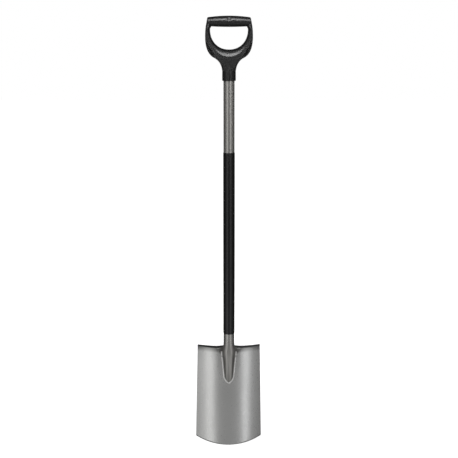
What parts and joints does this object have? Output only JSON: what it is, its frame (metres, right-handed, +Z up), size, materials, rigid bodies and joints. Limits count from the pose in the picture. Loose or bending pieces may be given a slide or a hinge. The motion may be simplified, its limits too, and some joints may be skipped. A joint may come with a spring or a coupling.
{
  "type": "garden spade",
  "caption": "Digging spade: rounded steel blade with turned foot treads, bent steel tube shaft with a black sleeve, and a D-shaped plastic handle with a soft barrel grip",
  "frame": {"origin": "under the middle of the whole spade's bounding box, at the height of the lowest point of the cutting edge", "axes": "+Z up along the straight upper shaft, X across the blade and the grip, -Y the side of the blade's rounded back and of the welded spear, +Y the hollow soil side"},
  "size_m": [0.1866, 0.1, 1.1977],
  "materials": {
    "blade_steel": "satin lacquered bare steel with fine lengthwise grain",
    "shaft_paint": "satin warm grey powder coat",
    "weld_steel": "bare rippled weld bead",
    "sleeve_plastic": "satin black",
    "handle_plastic": "satin moulded black",
    "grip_rubber": "smooth soft black",
    "screw_steel": "zinc plated"
  },
  "bodies": {
    "root": {"blade": "blade_steel", "shaft_tube": "shaft_paint", "toe_weld": "weld_steel", "left_heel_weld": "weld_steel", "right_heel_weld": "weld_steel", "shaft_sleeve": "sleeve_plastic", "handle_body": "handle_plastic", "grip_overmould": "grip_rubber", "handle_screw": "screw_steel"}
  },
  "joints": []
}
